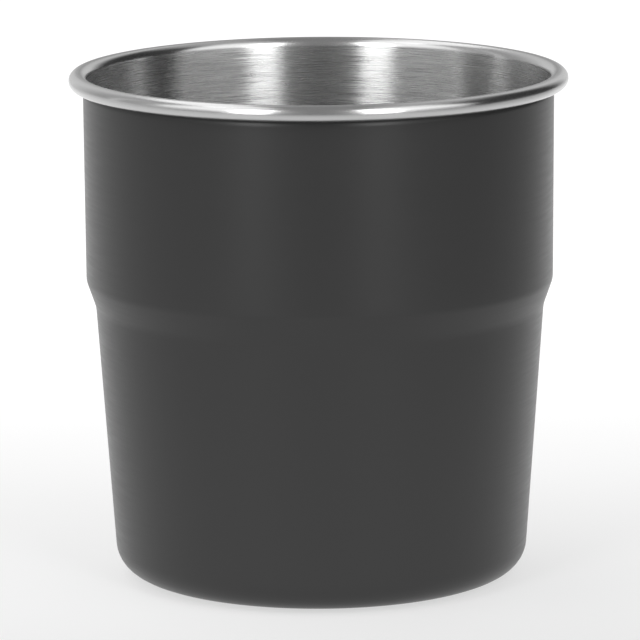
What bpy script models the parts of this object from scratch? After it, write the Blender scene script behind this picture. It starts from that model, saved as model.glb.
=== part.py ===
"""Espresso knock box: a drawn steel cup with a rolled rim and a stacking shoulder.

A rubber-sleeved knock bar turns in two bushes, which drop into open sockets
welded inside the cup. A rubber pad sits in the recess under the base.
Frame: metres, +Z up, origin on the counter under the middle of the cup.
The bar runs along X.
"""

import math

import bmesh
import bpy
from mathutils import Matrix, Vector

MM = 0.001

# Drawn cup: radii are on its coated outer face, and UPPER_WALL runs from the rim down to the shoulder
SHEET = 0.8 * MM
SHELL_HEIGHT = 110.0 * MM
WALL_TOP_RADIUS = 50.85 * MM
SHOULDER_TOP_RADIUS = 50.65 * MM
SHOULDER_FOOT_RADIUS = 48.65 * MM
UPPER_WALL = 45.3 * MM
SHOULDER_RISE = 5.7 * MM
SHOULDER_TOP_BEND = 4.4 * MM
SHOULDER_FOOT_BEND = 6.4 * MM
BASE_RADIUS = 44.5 * MM
BASE_CORNER = 6.5 * MM
STANDING_RING = 1.6 * MM

# Rolled rim: how far it stands out from the wall, the flat along its top, the bead's radius and its turn
RIM_OVERHANG = 3.15 * MM
RIM_FLAT = 0.33 * MM
CURL_RADIUS = 1.72 * MM
CURL_TUCK = math.radians(210)

# Rubber pad and the pressed recess that holds it
PAD_THICKNESS = 2.0 * MM
PAD_PROUD = 0.6 * MM
PAD_GROOVE_WIDTH = 2.4 * MM
PAD_GROOVE_DEPTH = 0.5 * MM
PAD_GROOVES = 3
PAD_EDGE = 0.4 * MM
RECESS_BEND = 1.2 * MM
RECESS_SLOPE = math.radians(60)

# Knock bar: its turned pieces, from the core outwards and then along to the ends
ROD_RADIUS = 5.0 * MM
JOURNAL_RADIUS = 4.0 * MM
SLEEVE_RADIUS = 12.0 * MM
SLEEVE_ROUND = 2.5 * MM
BUSH_RADIUS = 7.0 * MM
COLLAR_RADIUS = 9.6 * MM
COLLAR_THICKNESS = 1.8 * MM
SCREW_RADIUS = 2.2 * MM
SCREW_LENGTH = 9.0 * MM
HEAD_RADIUS = 4.9 * MM
HEAD_THICKNESS = 2.3 * MM
HEAD_KEY = 3.0 * MM
HEAD_KEY_DEPTH = 1.4 * MM
EDGE_BREAK = 0.4 * MM

# Open sockets: stamped plate, its stand above the shoulder, its reach in from the wall, its arms above the axis
SOCKET_PLATE = 1.5 * MM
SOCKET_STAND = 1.5 * MM
SOCKET_REACH = 11.0 * MM
SOCKET_ARM = 8.0 * MM
SOCKET_FLANGE = 4.0 * MM
FLANGE_CORNER = 3.5 * MM

# Clearances: between pieces that seat on each other, and at the ends of the bar
SEAT_GAP = 0.3 * MM
PAD_CLEARANCE = 0.4 * MM
END_PLAY = 0.9 * MM

# Facets: sides of the cup and of the bar's pieces, and the turn of one facet along a bend
CUP_SIDES = 64
BAR_SIDES = 32
FACET_TURN = math.radians(22.5)
SHARP_ANGLE = math.radians(35)

# What follows from those sizes
BASE_Z = PAD_PROUD
RIM_Z = BASE_Z + SHELL_HEIGHT
RIM_RADIUS = WALL_TOP_RADIUS + RIM_OVERHANG
MOUTH_BEND = RIM_OVERHANG + SHEET - CURL_RADIUS - RIM_FLAT
SHOULDER_TOP_Z = RIM_Z - UPPER_WALL
SHOULDER_FOOT_Z = SHOULDER_TOP_Z - SHOULDER_RISE
RECESS_DEPTH = PAD_THICKNESS - PAD_PROUD + SEAT_GAP
TROUGH_RADIUS = BUSH_RADIUS + SEAT_GAP
FLANGE_HALF = TROUGH_RADIUS + SOCKET_PLATE + SOCKET_FLANGE
BAR_Z = SHOULDER_TOP_Z + SOCKET_STAND + FLANGE_HALF


def material(name, colour, roughness, metallic):
    """A Principled material with one colour."""
    made = bpy.data.materials.new(name)
    made.use_nodes = True
    shader = made.node_tree.nodes["Principled BSDF"]
    shader.inputs["Base Color"].default_value = (*colour, 1.0)
    shader.inputs["Roughness"].default_value = roughness
    shader.inputs["Metallic"].default_value = metallic
    return made


def arc(centre, radius, start, end):
    """Points along an arc, with both ends, one facet per FACET_TURN or finer."""
    facets = max(1, math.ceil(abs(end - start) / FACET_TURN))
    angles = [start + (end - start) * i / facets for i in range(facets + 1)]
    return [Vector((centre[0] + radius * math.cos(a), centre[1] + radius * math.sin(a))) for a in angles]


def rounded(corners):
    """An open outline through (r, z, bend) corners, with each corner turned into an arc of that bend."""
    points = []
    for i, (r, z, bend) in enumerate(corners):
        corner = Vector((r, z))
        if bend == 0:
            points.append(corner)
            continue
        back = (Vector(corners[i - 1][:2]) - corner).normalized()
        onward = (Vector(corners[i + 1][:2]) - corner).normalized()
        half = back.angle(onward) / 2
        centre = corner + (back + onward).normalized() * bend / math.sin(half)
        first = corner + back * bend / math.tan(half) - centre
        turn = first.angle_signed(corner + onward * bend / math.tan(half) - centre)
        start = math.atan2(first.y, first.x)
        points += arc(centre, bend, start, start - turn)
    return points


def offset_left(path, distance):
    """The path moved sideways to its left by a distance, with mitred corners."""
    moved = []
    for i, point in enumerate(path):
        before = path[max(i - 1, 0)]
        after = path[min(i + 1, len(path) - 1)]
        arriving = (point - before).normalized() if i > 0 else (after - point).normalized()
        leaving = (after - point).normalized() if i < len(path) - 1 else arriving
        normals = Vector((-arriving.y, arriving.x)), Vector((-leaving.y, leaving.x))
        moved.append(point + (normals[0] + normals[1]) * distance / (1 + normals[0].dot(normals[1])))
    return moved


def turned(outline, sides, closed=False):
    """A solid of revolution about Z. An open outline starts and ends on the axis."""
    bm = bmesh.new()
    verts = [bm.verts.new((point[0], 0, point[1])) for point in outline]
    pairs = list(zip(verts, verts[1:]))
    if closed:
        pairs.append((verts[-1], verts[0]))
    edges = [bm.edges.new(pair) for pair in pairs]
    bmesh.ops.spin(bm, geom=verts + edges, axis=(0, 0, 1), angle=math.tau, steps=sides, use_merge=True)
    bmesh.ops.remove_doubles(bm, verts=bm.verts, dist=0.001 * MM)
    bmesh.ops.recalc_face_normals(bm, faces=bm.faces)
    return bm


def extruded(outline, start, length):
    """A prism of a closed (y, z) outline, from x = start over a length along +X."""
    bm = bmesh.new()
    face = bm.faces.new([bm.verts.new((start, y, z)) for y, z in outline])
    grown = bmesh.ops.extrude_face_region(bm, geom=[face])["geom"]
    bmesh.ops.translate(bm, vec=(length, 0, 0), verts=[v for v in grown if isinstance(v, bmesh.types.BMVert)])
    bmesh.ops.recalc_face_normals(bm, faces=bm.faces)
    return bm


def placed(name, bm_or_mesh, finish, parent=None):
    """A named object from a bmesh or a mesh, shaded smooth apart from its sharp edges."""
    mesh = bm_or_mesh
    if isinstance(bm_or_mesh, bmesh.types.BMesh):
        mesh = bpy.data.meshes.new(name)
        bm_or_mesh.to_mesh(mesh)
        bm_or_mesh.free()
        mesh.shade_smooth()
        mesh.set_sharp_from_angle(angle=SHARP_ANGLE)
    if not mesh.materials:
        mesh.materials.append(finish)
    obj = bpy.data.objects.new(name, mesh)
    bpy.context.scene.collection.objects.link(obj)
    obj.parent = parent
    return obj


def combined(base, *steps):
    """The bmesh that Boolean modifiers leave of a base, given (operation, bmesh) steps."""
    obj = placed("combined", base, None)
    cutters = []
    for operation, tool in steps:
        cutter = placed("cutter", tool, None)
        cutter.hide_render = True
        cutter.display_type = "WIRE"
        cutters.append(cutter)
        boolean = obj.modifiers.new(operation, "BOOLEAN")
        boolean.operation = operation
        boolean.solver = "EXACT"
        boolean.object = cutter
    bm = bmesh.new()
    bm.from_object(obj, bpy.context.evaluated_depsgraph_get())
    for helper in [obj, *cutters]:
        bpy.data.objects.remove(helper)
    return bm


def wall_radius(z):
    """Outer radius of the upper wall at a height above the counter."""
    share = (z - SHOULDER_TOP_Z) / (RIM_Z - SHOULDER_TOP_Z)
    return SHOULDER_TOP_RADIUS + (WALL_TOP_RADIUS - SHOULDER_TOP_RADIUS) * share


def base_ring_radius():
    """Where the base's corner bend begins, on the flat standing ring."""
    wall = math.atan2(SHOULDER_FOOT_Z - BASE_Z, SHOULDER_FOOT_RADIUS - BASE_RADIUS)
    return BASE_RADIUS - BASE_CORNER * math.tan(wall / 2)


def recess_radius():
    """Radius of the recess at its roof, inside the standing ring and its pressed step."""
    step = RECESS_DEPTH / math.tan(RECESS_SLOPE) + RECESS_BEND * math.tan(RECESS_SLOPE / 2)
    return base_ring_radius() - STANDING_RING - step


def pad_radius():
    """Radius of the pad, clear of the bend between the recess's roof and its step."""
    return recess_radius() - RECESS_BEND * math.tan(RECESS_SLOPE / 2) - PAD_CLEARANCE


def outer_face():
    """The cup's outer face from the middle of the base to the tucked edge of the curl."""
    recess_foot = recess_radius() + RECESS_DEPTH / math.tan(RECESS_SLOPE)
    face = rounded([
        (0, BASE_Z + RECESS_DEPTH, 0),
        (recess_radius(), BASE_Z + RECESS_DEPTH, RECESS_BEND),
        (recess_foot, BASE_Z, RECESS_BEND),
        (BASE_RADIUS, BASE_Z, BASE_CORNER),
        (SHOULDER_FOOT_RADIUS, SHOULDER_FOOT_Z, SHOULDER_FOOT_BEND),
        (SHOULDER_TOP_RADIUS, SHOULDER_TOP_Z, SHOULDER_TOP_BEND),
        (WALL_TOP_RADIUS, RIM_Z, 0),
    ])
    mouth = (wall_radius(RIM_Z - MOUTH_BEND) - SHEET + MOUTH_BEND, RIM_Z - MOUTH_BEND)
    curl = (RIM_RADIUS - CURL_RADIUS, RIM_Z - CURL_RADIUS)
    top = math.pi / 2
    bend = arc(mouth, MOUTH_BEND - SHEET, math.pi, top)
    roll = arc(curl, CURL_RADIUS - SHEET, top, top - CURL_TUCK)
    return face[:-1] + bend + roll


def body_shell(coat, steel):
    """One sheet drawn deep, stepped for stacking and rolled outwards at the rim. Only its outside is coated."""
    outside = outer_face()
    inside = offset_left(outside, SHEET)
    for end in (outside[0], inside[0]):
        end.x = 0
    bm = turned(inside + outside[::-1], CUP_SIDES)
    bm.normal_update()
    for face in bm.faces:
        middle = face.calc_center_median()
        outward = face.normal.x * middle.x + face.normal.y * middle.y
        faces_out_or_down = outward > abs(face.normal.z) * middle.xy.length or face.normal.z < -0.1
        face.material_index = 0 if faces_out_or_down and middle.z < RIM_Z - 2 * CURL_RADIUS else 1
    obj = placed("body_shell", bm, coat)
    obj.data.materials.append(steel)
    return obj


def base_pad(rubber):
    """A moulded rubber disc glued into the recess, with ring grooves in its sole."""
    radius = pad_radius()
    outline = [(0, PAD_THICKNESS), (radius - PAD_EDGE, PAD_THICKNESS), (radius, PAD_THICKNESS - PAD_EDGE)]
    outline += [(radius, PAD_EDGE), (radius - PAD_EDGE, 0)]
    pitch = radius / (PAD_GROOVES + 1)
    for i in range(PAD_GROOVES, 0, -1):
        out, into = i * pitch + PAD_GROOVE_WIDTH / 2, i * pitch - PAD_GROOVE_WIDTH / 2
        outline += [(out, 0), (out - PAD_GROOVE_DEPTH, PAD_GROOVE_DEPTH)]
        outline += [(into + PAD_GROOVE_DEPTH, PAD_GROOVE_DEPTH), (into, 0)]
    outline.append((0, 0))
    return placed("base_pad", turned(outline, CUP_SIDES), rubber)


def socket_mesh(steel):
    """A stamped socket at +X: a flange curved to the wall, and a trough open at the top for the bush."""
    back = wall_radius(BAR_Z) - SHEET - SEAT_GAP
    start = back - SOCKET_REACH
    past_wall = 2 * SOCKET_REACH

    def trough(radius, arm):
        curve = arc((0, BAR_Z), radius, -math.pi, 0)
        return [(-radius, BAR_Z + arm), *[tuple(p) for p in curve], (radius, BAR_Z + arm)]

    def wall_plug(inset):
        """The space inside the wall, less an inset, over the flange's height and more."""
        low, high = BAR_Z - 2 * FLANGE_HALF, BAR_Z + 2 * FLANGE_HALF
        rims = [(wall_radius(z) - SHEET - SEAT_GAP - inset, z) for z in (low, high)]
        return turned([(0, high), rims[1], rims[0], (0, low)], CUP_SIDES)

    top, low = BAR_Z + SOCKET_ARM, BAR_Z - FLANGE_HALF
    round_low = arc((-FLANGE_HALF + FLANGE_CORNER, low + FLANGE_CORNER), FLANGE_CORNER, -math.pi, -math.pi / 2)
    outline = [(-FLANGE_HALF, top), *[tuple(p) for p in round_low]]
    outline += [(-y, z) for y, z in reversed(outline)]
    flange = combined(
        extruded(outline, start, past_wall),
        ("INTERSECT", wall_plug(0)),
        ("DIFFERENCE", wall_plug(SOCKET_PLATE)),
    )
    cup = combined(
        extruded(trough(TROUGH_RADIUS + SOCKET_PLATE, SOCKET_ARM), start, past_wall),
        ("INTERSECT", wall_plug(0)),
        ("UNION", flange),
    )
    space = combined(
        extruded(trough(TROUGH_RADIUS, 2 * SOCKET_ARM), start - SOCKET_REACH, past_wall),
        ("INTERSECT", wall_plug(SOCKET_PLATE)),
    )
    bm = combined(cup, ("DIFFERENCE", space))
    holder = placed("socket", bm, steel)
    mesh = holder.data
    bpy.data.objects.remove(holder)
    return mesh


def bar_stations():
    """Half lengths along the bar, from its middle: each is set by the piece that it meets."""
    wall = wall_radius(BAR_Z) - SHEET - SEAT_GAP
    head = wall - SOCKET_PLATE - END_PLAY
    head_seat = head - HEAD_THICKNESS
    rod = head_seat - SEAT_GAP
    bush = rod - SEAT_GAP
    collar = wall - SOCKET_REACH - SEAT_GAP
    shoulder = collar - COLLAR_THICKNESS - SEAT_GAP
    return {"head": head, "head_seat": head_seat, "rod": rod, "bush": bush, "collar": collar, "shoulder": shoulder}


def bar_rod(at, steel, axis):
    """The bar's core: a turned rod with a stepped journal and a tapped hole at each end."""
    hole = SCREW_RADIUS + SEAT_GAP
    bottom = at["rod"] - SCREW_LENGTH - SEAT_GAP
    half = [(0, bottom), (hole, bottom), (hole, at["rod"]), (JOURNAL_RADIUS - EDGE_BREAK, at["rod"])]
    half += [(JOURNAL_RADIUS, at["rod"] - EDGE_BREAK), (JOURNAL_RADIUS, at["shoulder"])]
    half += [(ROD_RADIUS, at["shoulder"])]
    outline = half + [(r, -z) for r, z in reversed(half)]
    return placed("bar_rod", turned(outline, BAR_SIDES), steel, axis)


def bar_sleeve(at, rubber, axis):
    """A thick rubber tube pushed over the rod, with rounded ends."""
    bore = ROD_RADIUS + SEAT_GAP
    corner = (SLEEVE_RADIUS - SLEEVE_ROUND, at["shoulder"] - SLEEVE_ROUND)
    half = [(bore, at["shoulder"])] + [tuple(p) for p in arc(corner, SLEEVE_ROUND, math.pi / 2, 0)]
    outline = half + [(r, -z) for r, z in reversed(half)]
    return placed("bar_sleeve", turned(outline, BAR_SIDES, closed=True), rubber, axis)


def bush_mesh(at, plastic):
    """A flanged bush on the +X journal: its body drops into the socket, its collar stops against it."""
    bore = JOURNAL_RADIUS + SEAT_GAP
    inner = at["collar"] - COLLAR_THICKNESS
    outline = [(bore, inner), (bore, at["bush"]), (BUSH_RADIUS - EDGE_BREAK, at["bush"])]
    outline += [(BUSH_RADIUS, at["bush"] - EDGE_BREAK), (BUSH_RADIUS, at["collar"])]
    outline += [(COLLAR_RADIUS - EDGE_BREAK, at["collar"]), (COLLAR_RADIUS, at["collar"] - EDGE_BREAK)]
    outline += [(COLLAR_RADIUS, inner)]
    holder = placed("bush", turned(outline, BAR_SIDES, closed=True), plastic)
    mesh = holder.data
    bpy.data.objects.remove(holder)
    return mesh


def screw_mesh(at, steel):
    """A button-head screw in the +X end of the rod, with a hexagon key recess. It keeps the bush on."""
    tip = at["rod"] - SCREW_LENGTH
    outline = [(0, tip), (SCREW_RADIUS, tip), (SCREW_RADIUS, at["head_seat"]), (HEAD_RADIUS, at["head_seat"])]
    outline += [(HEAD_RADIUS, at["head_seat"] + EDGE_BREAK)]
    outline += [(HEAD_KEY, at["head"]), (0, at["head"])]
    key = bmesh.new()
    bmesh.ops.create_cone(
        key, cap_ends=True, segments=6, depth=2 * HEAD_KEY_DEPTH,
        radius1=HEAD_KEY / math.sqrt(3), radius2=HEAD_KEY / math.sqrt(3),
        matrix=Matrix.Translation((0, 0, at["head"])),
    )
    holder = placed("screw", combined(turned(outline, BAR_SIDES), ("DIFFERENCE", key)), steel)
    mesh = holder.data
    bpy.data.objects.remove(holder)
    return mesh


def build():
    """Clears the scene and puts the knock box together."""
    for obj in list(bpy.data.objects):
        bpy.data.objects.remove(obj)
    coat = material("black_coat", (0.052, 0.052, 0.053), 0.5, 0.0)
    steel = material("brushed_steel", (0.62, 0.62, 0.63), 0.28, 1.0)
    rubber = material("black_rubber", (0.022, 0.022, 0.023), 0.8, 0.0)
    plastic = material("bush_plastic", (0.11, 0.11, 0.115), 0.45, 0.0)

    body_shell(coat, steel)
    base_pad(rubber)

    # The bar's pieces lie along the local Z of an empty on the bar's axis
    axis = bpy.data.objects.new("bar_axis", None)
    bpy.context.scene.collection.objects.link(axis)
    axis.location = (0, 0, BAR_Z)
    axis.rotation_euler = (0, math.pi / 2, 0)
    at = bar_stations()
    bar_rod(at, steel, axis)
    bar_sleeve(at, rubber, axis)

    socket = socket_mesh(steel)
    bush = bush_mesh(at, plastic)
    screw = screw_mesh(at, steel)
    for side, about_z in (("right", 0), ("left", math.pi)):
        placed(f"bar_socket_{side}", socket, steel).rotation_euler = (0, 0, about_z)
        placed(f"bar_bush_{side}", bush, plastic, axis).rotation_euler = (about_z, 0, 0)
        placed(f"bar_screw_{side}", screw, steel, axis).rotation_euler = (about_z, 0, 0)


build()
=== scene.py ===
"""Looks of the espresso knock box: a black-coated steel cup with a bare rolled rim, a rubber pad under it,
and a rubber-sleeved knock bar that turns in bushes and lifts out of open sockets inside. Metres, +Z up, and
the bar along X."""

import math

import bpy
import numpy as np
from mathutils import Matrix


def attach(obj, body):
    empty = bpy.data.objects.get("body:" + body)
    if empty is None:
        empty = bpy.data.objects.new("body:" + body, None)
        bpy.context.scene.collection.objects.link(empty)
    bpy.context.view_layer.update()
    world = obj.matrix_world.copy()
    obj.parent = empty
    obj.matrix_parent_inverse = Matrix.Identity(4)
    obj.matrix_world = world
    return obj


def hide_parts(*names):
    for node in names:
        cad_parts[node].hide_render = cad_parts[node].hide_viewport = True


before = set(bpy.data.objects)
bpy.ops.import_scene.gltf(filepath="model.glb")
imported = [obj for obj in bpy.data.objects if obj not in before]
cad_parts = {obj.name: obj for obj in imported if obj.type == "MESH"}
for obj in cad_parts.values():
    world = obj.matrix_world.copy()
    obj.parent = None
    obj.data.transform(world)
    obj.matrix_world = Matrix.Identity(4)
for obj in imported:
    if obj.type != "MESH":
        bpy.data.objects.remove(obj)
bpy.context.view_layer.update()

# Body shell, the steel. One stainless sheet is drawn deep, stepped in at a shoulder so that cups nest, and
# rolled outwards round the mouth. It is brushed while it spins, so the lines run round it, and it carries
# every other piece. A corner of its profile is a radius, a height and the bend's radius.

MM = 0.001
SHEET = 0.8 * MM
BASE_Z = 0.6 * MM
RIM_Z = 110.6 * MM
RIM_RADIUS = 54.0 * MM
CURL_RADIUS = 1.72 * MM
CURL_TUCK = math.radians(210)
WALL_TOP_RADIUS = 50.85 * MM
SHOULDER_TOP = (50.65 * MM, 65.3 * MM, 4.4 * MM)
SHOULDER_FOOT = (48.65 * MM, 59.6 * MM, 6.4 * MM)
BASE_CORNER = (44.5 * MM, BASE_Z, 6.5 * MM)
RECESS_FOOT = (36.148 * MM, BASE_Z, 1.2 * MM)
RECESS_ROOF = (35.166 * MM, BASE_Z + 1.7 * MM, 1.2 * MM)
MOUTH_BEND = 1.9 * MM
CUP_CORNERS = ((0, RECESS_ROOF[1], 0), RECESS_ROOF, RECESS_FOOT, BASE_CORNER, SHOULDER_FOOT, SHOULDER_TOP)
CUP_SIDES = 256
ARC_STEP = math.radians(9)
RUN_STEP = 2.5 * MM
SAME_PLACE_DIGITS = 9


def arc(centre, radius, start, end):
    """Points on a circle: centre plus radius times (cos, sin) of angles evenly spaced from start to end."""
    turn = np.linspace(start, end, 2 + int(abs(end - start) / ARC_STEP))
    return np.array(centre) + radius * np.stack([np.cos(turn), np.sin(turn)], 1)


def bent(corners, run=RUN_STEP):
    """Points along the straight runs between corners (r, z, bend). A corner becomes the arc of radius bend
    that touches both of its runs: its centre lies on the corner's bisector, bend / sin(half the corner's
    angle) away."""
    line = [np.array(corners[0][:2])[None]]
    for before, corner, after in zip(corners, corners[1:], corners[2:]):
        tip = np.array(corner[:2])
        back, onward = (np.array(other[:2]) - tip for other in (before, after))
        back, onward = back / np.linalg.norm(back), onward / np.linalg.norm(onward)
        half = math.acos(np.clip(back @ onward, -1, 1)) / 2
        centre = tip + (back + onward) / np.linalg.norm(back + onward) * corner[2] / math.sin(half)
        first = tip + back * corner[2] / math.tan(half) - centre
        turn = math.copysign(math.pi - 2 * half, back[1] * onward[0] - back[0] * onward[1])
        start = math.atan2(first[1], first[0])
        line.append(arc(centre, corner[2], start, start + turn))
    line.append(np.array(corners[-1][:2])[None])
    runs = []
    for piece, following in zip(line, line[1:]):
        pieces = 1 + int(np.linalg.norm(following[0] - piece[-1]) / run)
        share = np.linspace(0, 1, pieces + 1)[1:-1, None]
        runs += [piece, piece[-1] + share * (following[0] - piece[-1])]
    return np.concatenate(runs + [line[-1]])


def beside(line, distance):
    """The line moved to its left: each point goes along the sum of the normals of its two runs, scaled by
    distance / (1 + their dot product), which keeps every run at that distance."""
    runs = np.diff(line, axis=0)
    normals = np.stack([-runs[:, 1], runs[:, 0]], 1) / np.linalg.norm(runs, axis=1)[:, None]
    before, after = np.vstack([normals[:1], normals]), np.vstack([normals, normals[-1:]])
    return line + (before + after) * distance / (1 + (before * after).sum(1))[:, None]


def skinned(name, grid, around=False, ring=False, ends=False):
    """A mesh over a grid of points: four neighbours make a face, points in one place are one, and a face that
    loses a corner that way is a triangle. around joins the last column to the first, ring the last row to the
    first, and ends closes the first and the last row. Faces are turned outwards by the sign of the volume
    that they enclose."""
    points = np.round(grid.reshape(-1, 3), SAME_PLACE_DIGITS) + 0.0
    places, index = np.unique(points, axis=0, return_inverse=True)
    index = index.reshape(grid.shape[:2])
    caps = [index[0][::-1].tolist(), index[-1].tolist()] if ends else []
    index = np.hstack([index, index[:, :1]]) if around else index
    index = np.vstack([index, index[:1]]) if ring else index
    faces = np.stack([index[:-1, :-1], index[:-1, 1:], index[1:, 1:], index[1:, :-1]], -1).reshape(-1, 4)
    alike = faces == np.roll(faces, -1, 1)
    quads, lone = faces[~alike.any(1)], alike.sum(1) == 1
    fans = faces[lone][~alike[lone]].reshape(-1, 3)
    corners = places[np.vstack([quads[:, :3], quads[:, [0, 2, 3]], fans])]
    inside_out = (corners[:, 0] * np.cross(corners[:, 1], corners[:, 2])).sum() < 0
    order = -1 if inside_out else 1
    mesh = bpy.data.meshes.new(name)
    mesh.from_pydata(places, [], quads[:, ::order].tolist() + fans[:, ::order].tolist()
                     + [cap[::order] for cap in caps])
    mesh.shade_smooth()
    piece = bpy.data.objects.new(name, mesh)
    bpy.context.scene.collection.objects.link(piece)
    return piece


def turned(name, profile, sides, ring=False, place=lambda a, b, h: (a, b, h), swell=1.0):
    """A surface of revolution: step i of the profile at turn t is (r cos t, r sin t, h), where r is the
    step's radius times swell, a number or a grid of them by step and turn. place then moves each point."""
    turn = np.arange(sides) * math.tau / sides
    radius = profile[:, :1] * swell * np.ones(sides)
    height = profile[:, 1:] * np.ones(sides)
    grid = np.stack(place(radius * np.cos(turn), radius * np.sin(turn), height), -1)
    return skinned(name, grid, around=True, ring=ring)


tuck = math.pi / 2 - CURL_TUCK
cup_face = bent([*CUP_CORNERS, (WALL_TOP_RADIUS, RIM_Z - MOUTH_BEND, 0)])
mouth = arc((WALL_TOP_RADIUS - SHEET + MOUTH_BEND, RIM_Z - MOUTH_BEND), MOUTH_BEND - SHEET,
            math.pi, math.pi / 2)
curl = arc((RIM_RADIUS - CURL_RADIUS, RIM_Z - CURL_RADIUS), CURL_RADIUS - SHEET, math.pi / 2, tuck)
sheet_outside = np.concatenate([cup_face, mouth[1:], curl])
sheet_inside = beside(sheet_outside, SHEET)
sheet_inside[0, 0] = 0
edge = arc((sheet_inside[-1] + sheet_outside[-1]) / 2, SHEET / 2, tuck, tuck - math.pi)[1:-1]
shell_steel = turned("shell_steel", np.concatenate([sheet_inside, edge, sheet_outside[::-1]]), CUP_SIDES)


def linear(code):
    """An sRGB hex colour as linear RGBA: the sRGB curve undone on each channel."""
    srgb = np.array([int(code[i:i + 2], 16) for i in (1, 3, 5)]) / 255
    return (*np.where(srgb <= 0.04045, srgb / 12.92, ((srgb + 0.055) / 1.055) ** 2.4), 1.0)


def add(tree, kind, inputs=(), **settings):
    """A node of a kind with its settings. Each input, by name or number, takes a link from a socket or a
    value."""
    node = tree.nodes.new(kind)
    for key, value in settings.items():
        setattr(node, key, value)
    for key, value in dict(inputs).items():
        if isinstance(value, bpy.types.NodeSocket):
            tree.links.new(value, node.inputs[key])
        else:
            node.inputs[key].default_value = value
    return node


def lines_round(tree, pitch, length, detail):
    """Noise drawn out into lines round the Z axis. A cell of it is one length along the lines, as far as the
    heading turns at the wall's radius, and one pitch across them, in height and in radius."""
    place = add(tree, "ShaderNodeTexCoord").outputs["Object"]
    flat = add(tree, "ShaderNodeVectorMath", {0: place, 1: (1, 1, 0)}, operation="MULTIPLY").outputs[0]
    radius = add(tree, "ShaderNodeVectorMath", {0: flat}, operation="LENGTH").outputs["Value"]
    heading = add(tree, "ShaderNodeVectorMath", {0: flat}, operation="NORMALIZE").outputs[0]
    level = add(tree, "ShaderNodeVectorMath", {0: place, 1: (0, 0, 1 / pitch)},
                operation="MULTIPLY").outputs[0]
    along = add(tree, "ShaderNodeVectorMath", {0: heading, 1: [WALL_TOP_RADIUS / length] * 3, 2: level},
                operation="MULTIPLY_ADD").outputs[0]
    across = add(tree, "ShaderNodeMath", {0: radius, 1: 1 / pitch}, operation="MULTIPLY").outputs[0]
    return add(tree, "ShaderNodeTexNoise", {"Vector": along, "W": across, "Scale": 1.0, "Detail": detail},
               noise_dimensions="4D").outputs[0]


# Stainless steel, brushed round the axis. The lines spread light up and down the wall, so lamps stand in it
# as bands, and each deeper score leans a little to one side, which frays the bands. Real lines are about
# 0.05 mm apart. The fine ones are drawn at 0.1 mm and the scores at 0.17 mm, so that they show.
RIDGE_COLOUR = "#DEDEDE"
SCORE_COLOUR = "#C4C4C4"
BRUSH_LENGTH = 9 * MM
HAIR_PITCH = 0.1 * MM
HAIR_DEPTH = 0.018 * MM
SCORE_PITCH = 0.17 * MM
SCORE_LEAN = 0.06
STEEL_ROUGHNESS = (0.25, 0.29)
# Blender's noise runs from 0 to 1 and seldom leaves these two values.
NOISE_LOW = 0.3
NOISE_HIGH = 0.7

steel = bpy.data.materials.new("brushed_stainless_steel")
steel.use_nodes = True
tree = steel.node_tree
tree.nodes.clear()
hairs = lines_round(tree, HAIR_PITCH, BRUSH_LENGTH, 0.0)
scores = lines_round(tree, SCORE_PITCH, BRUSH_LENGTH, 1.0)
ridge = add(tree, "ShaderNodeMapRange", {0: scores, 1: 0.35, 2: 0.65}).outputs[0]
colour = add(tree, "ShaderNodeMixRGB", {
    0: ridge, 1: linear(SCORE_COLOUR), 2: linear(RIDGE_COLOUR)}).outputs[0]
rough = add(tree, "ShaderNodeMapRange", {
    0: scores, 1: NOISE_LOW, 2: NOISE_HIGH, 3: STEEL_ROUGHNESS[0], 4: STEEL_ROUGHNESS[1]}).outputs[0]
round_axis = add(tree, "ShaderNodeTangent", direction_type="RADIAL", axis="Z").outputs[0]
lean = add(tree, "ShaderNodeMapRange", {0: scores, 3: -SCORE_LEAN / 2, 4: SCORE_LEAN / 2}).outputs[0]
aside = add(tree, "ShaderNodeVectorMath", {0: round_axis, "Scale": lean}, operation="SCALE").outputs[0]
upright = add(tree, "ShaderNodeNewGeometry").outputs["Normal"]
leaning = add(tree, "ShaderNodeVectorMath", {0: upright, 1: aside}, operation="ADD").outputs[0]
leaning = add(tree, "ShaderNodeVectorMath", {0: leaning}, operation="NORMALIZE").outputs[0]
bump = add(tree, "ShaderNodeBump", {
    "Strength": 1.0, "Distance": HAIR_DEPTH, "Height": hairs, "Normal": leaning}).outputs[0]
shader = add(tree, "ShaderNodeBsdfPrincipled", {
    "Base Color": colour, "Metallic": 1.0, "Roughness": rough, "Anisotropic": 1.0,
    "Anisotropic Rotation": 0.25, "Tangent": round_axis, "Normal": bump}).outputs[0]
add(tree, "ShaderNodeOutputMaterial", {"Surface": shader})

# The same steel on the rolled rim, burnished by the roller: a satin shine, with lamps as glints with soft
# ends. The roller's marks run round it, about 0.2 mm apart, and are drawn at 0.6 mm.
STEEL_COLOUR = "#C8C8C8"
ROLLER_PITCH = 0.6 * MM
RIM_ROUGHNESS = (0.21, 0.25)
PAST_WALL = 0.1 * MM

burnished = bpy.data.materials.new("burnished_stainless_steel")
burnished.use_nodes = True
tree = burnished.node_tree
tree.nodes.clear()
marks = lines_round(tree, ROLLER_PITCH, BRUSH_LENGTH, 2.0)
rough = add(tree, "ShaderNodeMapRange", {
    0: marks, 1: NOISE_LOW, 2: NOISE_HIGH, 3: RIM_ROUGHNESS[0], 4: RIM_ROUGHNESS[1]}).outputs[0]
round_axis = add(tree, "ShaderNodeTangent", direction_type="RADIAL", axis="Z").outputs[0]
shader = add(tree, "ShaderNodeBsdfPrincipled", {
    "Base Color": linear(STEEL_COLOUR), "Metallic": 1.0, "Roughness": rough, "Anisotropic": 0.75,
    "Anisotropic Rotation": 0.25, "Tangent": round_axis}).outputs[0]
add(tree, "ShaderNodeOutputMaterial", {"Surface": shader})

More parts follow.
